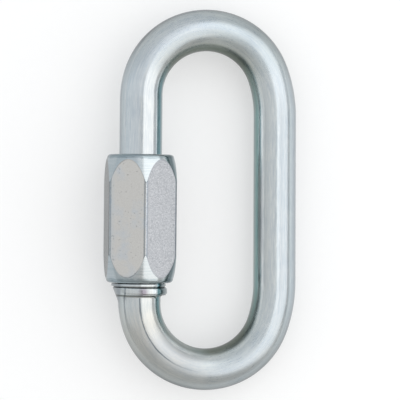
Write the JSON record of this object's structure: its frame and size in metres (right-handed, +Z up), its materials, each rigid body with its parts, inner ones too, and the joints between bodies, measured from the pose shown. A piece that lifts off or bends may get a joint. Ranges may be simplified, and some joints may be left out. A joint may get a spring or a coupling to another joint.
{
  "type": "chain quick link",
  "caption": "Oval steel quick link for joining chain: a bent round bar whose open side is closed by a long hexagonal sleeve nut that screws along the bar.",
  "frame": {"origin": "centre of the footprint, on the surface that the link lies on", "axes": "+Y along the screw axis towards the bow that the nut opens to, +X from the gate side to the plain back, +Z up from the surface"},
  "size_m": [0.0454, 0.0896, 0.018],
  "materials": {
    "bar_steel": "bright zinc plating over drawn round bar",
    "nut_steel": "bright zinc plating over turned hexagonal bar"
  },
  "bodies": {
    "link": {"link_bar": "bar_steel"},
    "nut": {"sleeve_nut": "nut_steel"}
  },
  "joints": [
    {"name": "nut_travel", "type": "slide", "parent": "link", "child": "nut", "axis": [0, 1, 0], "range_m": [0, 0.0165]}
  ]
}
